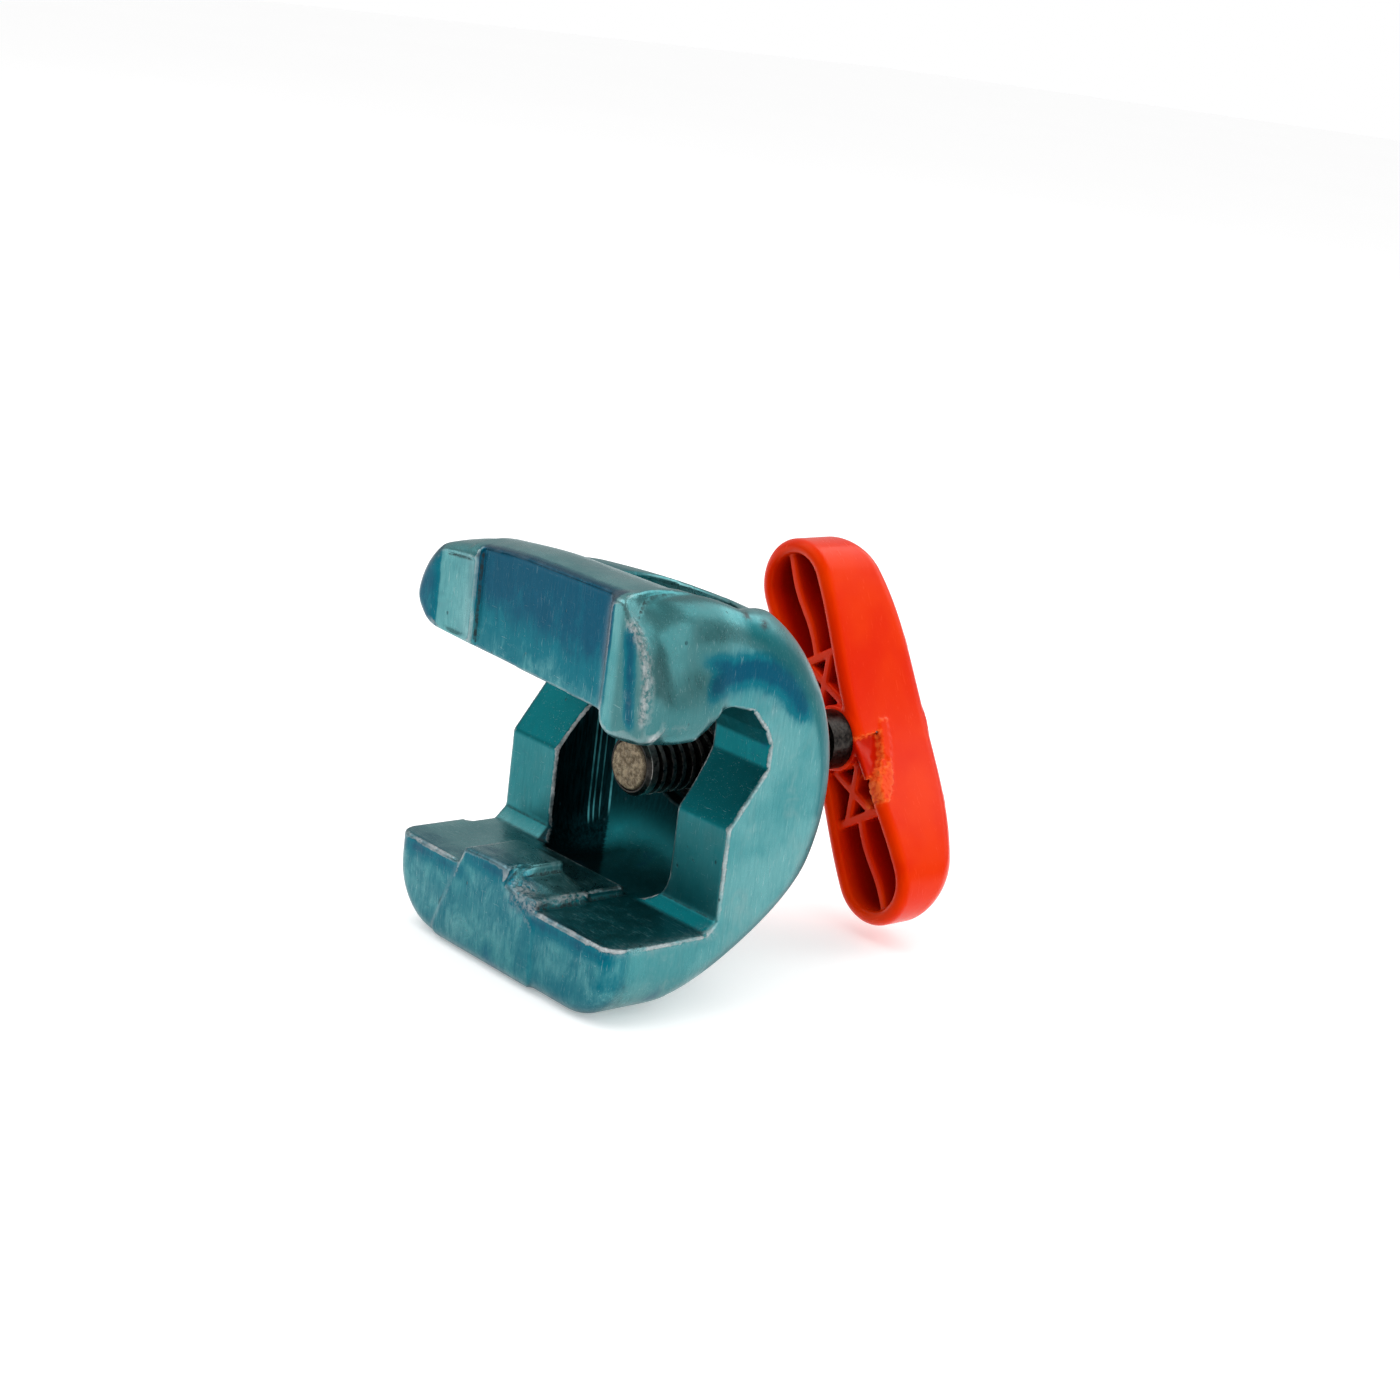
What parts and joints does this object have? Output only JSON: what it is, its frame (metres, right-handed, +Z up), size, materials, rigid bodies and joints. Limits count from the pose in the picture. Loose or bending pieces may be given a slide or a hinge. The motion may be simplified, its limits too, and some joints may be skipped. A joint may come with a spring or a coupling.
{
  "type": "rail clamp",
  "caption": "Cast C-shaped rail and pole clamp with a free beam, a toothed lip, an upright half-round channel and a screw with a moulded T handle.",
  "frame": {"origin": "centre of the pressure foot's face on the screw axis, with the screw at rest", "axes": "+Y along the screw axis towards the handle, -Y out of the open mouth, +X along the lips, +Z up from the lower jaw to the beam"},
  "size_m": [0.0594, 0.0856, 0.0658],
  "materials": {
    "tinted_casting": "satin metallic teal coating over cast metal, worn bare along edges",
    "dark_steel": "oiled black oxide",
    "bronze": "dull and pitted",
    "spring_steel": "bright drawn",
    "orange_plastic": "glossy moulding"
  },
  "bodies": {
    "casting": {"clamp_body": "tinted_casting", "threaded_bush": "dark_steel"},
    "feed": {"pressure_foot": "bronze", "foot_snap_ring": "spring_steel"},
    "screw": {"spindle": "dark_steel", "handle": "orange_plastic", "handle_pin": "spring_steel"}
  },
  "joints": [
    {"name": "screw_travel", "type": "slide", "parent": "casting", "child": "feed", "axis": [0, -1, 0], "range_m": [-0.012, 0.018]},
    {"name": "screw_spin", "type": "hinge", "parent": "feed", "child": "screw", "pos_m": [0, 0, 0], "axis": [0, -1, 0], "range_deg": [-2162, 3242]}
  ],
  "couplings": [
    {"joint": "screw_spin", "follows": "screw_travel", "rad_per_m": 3141.6}
  ]
}
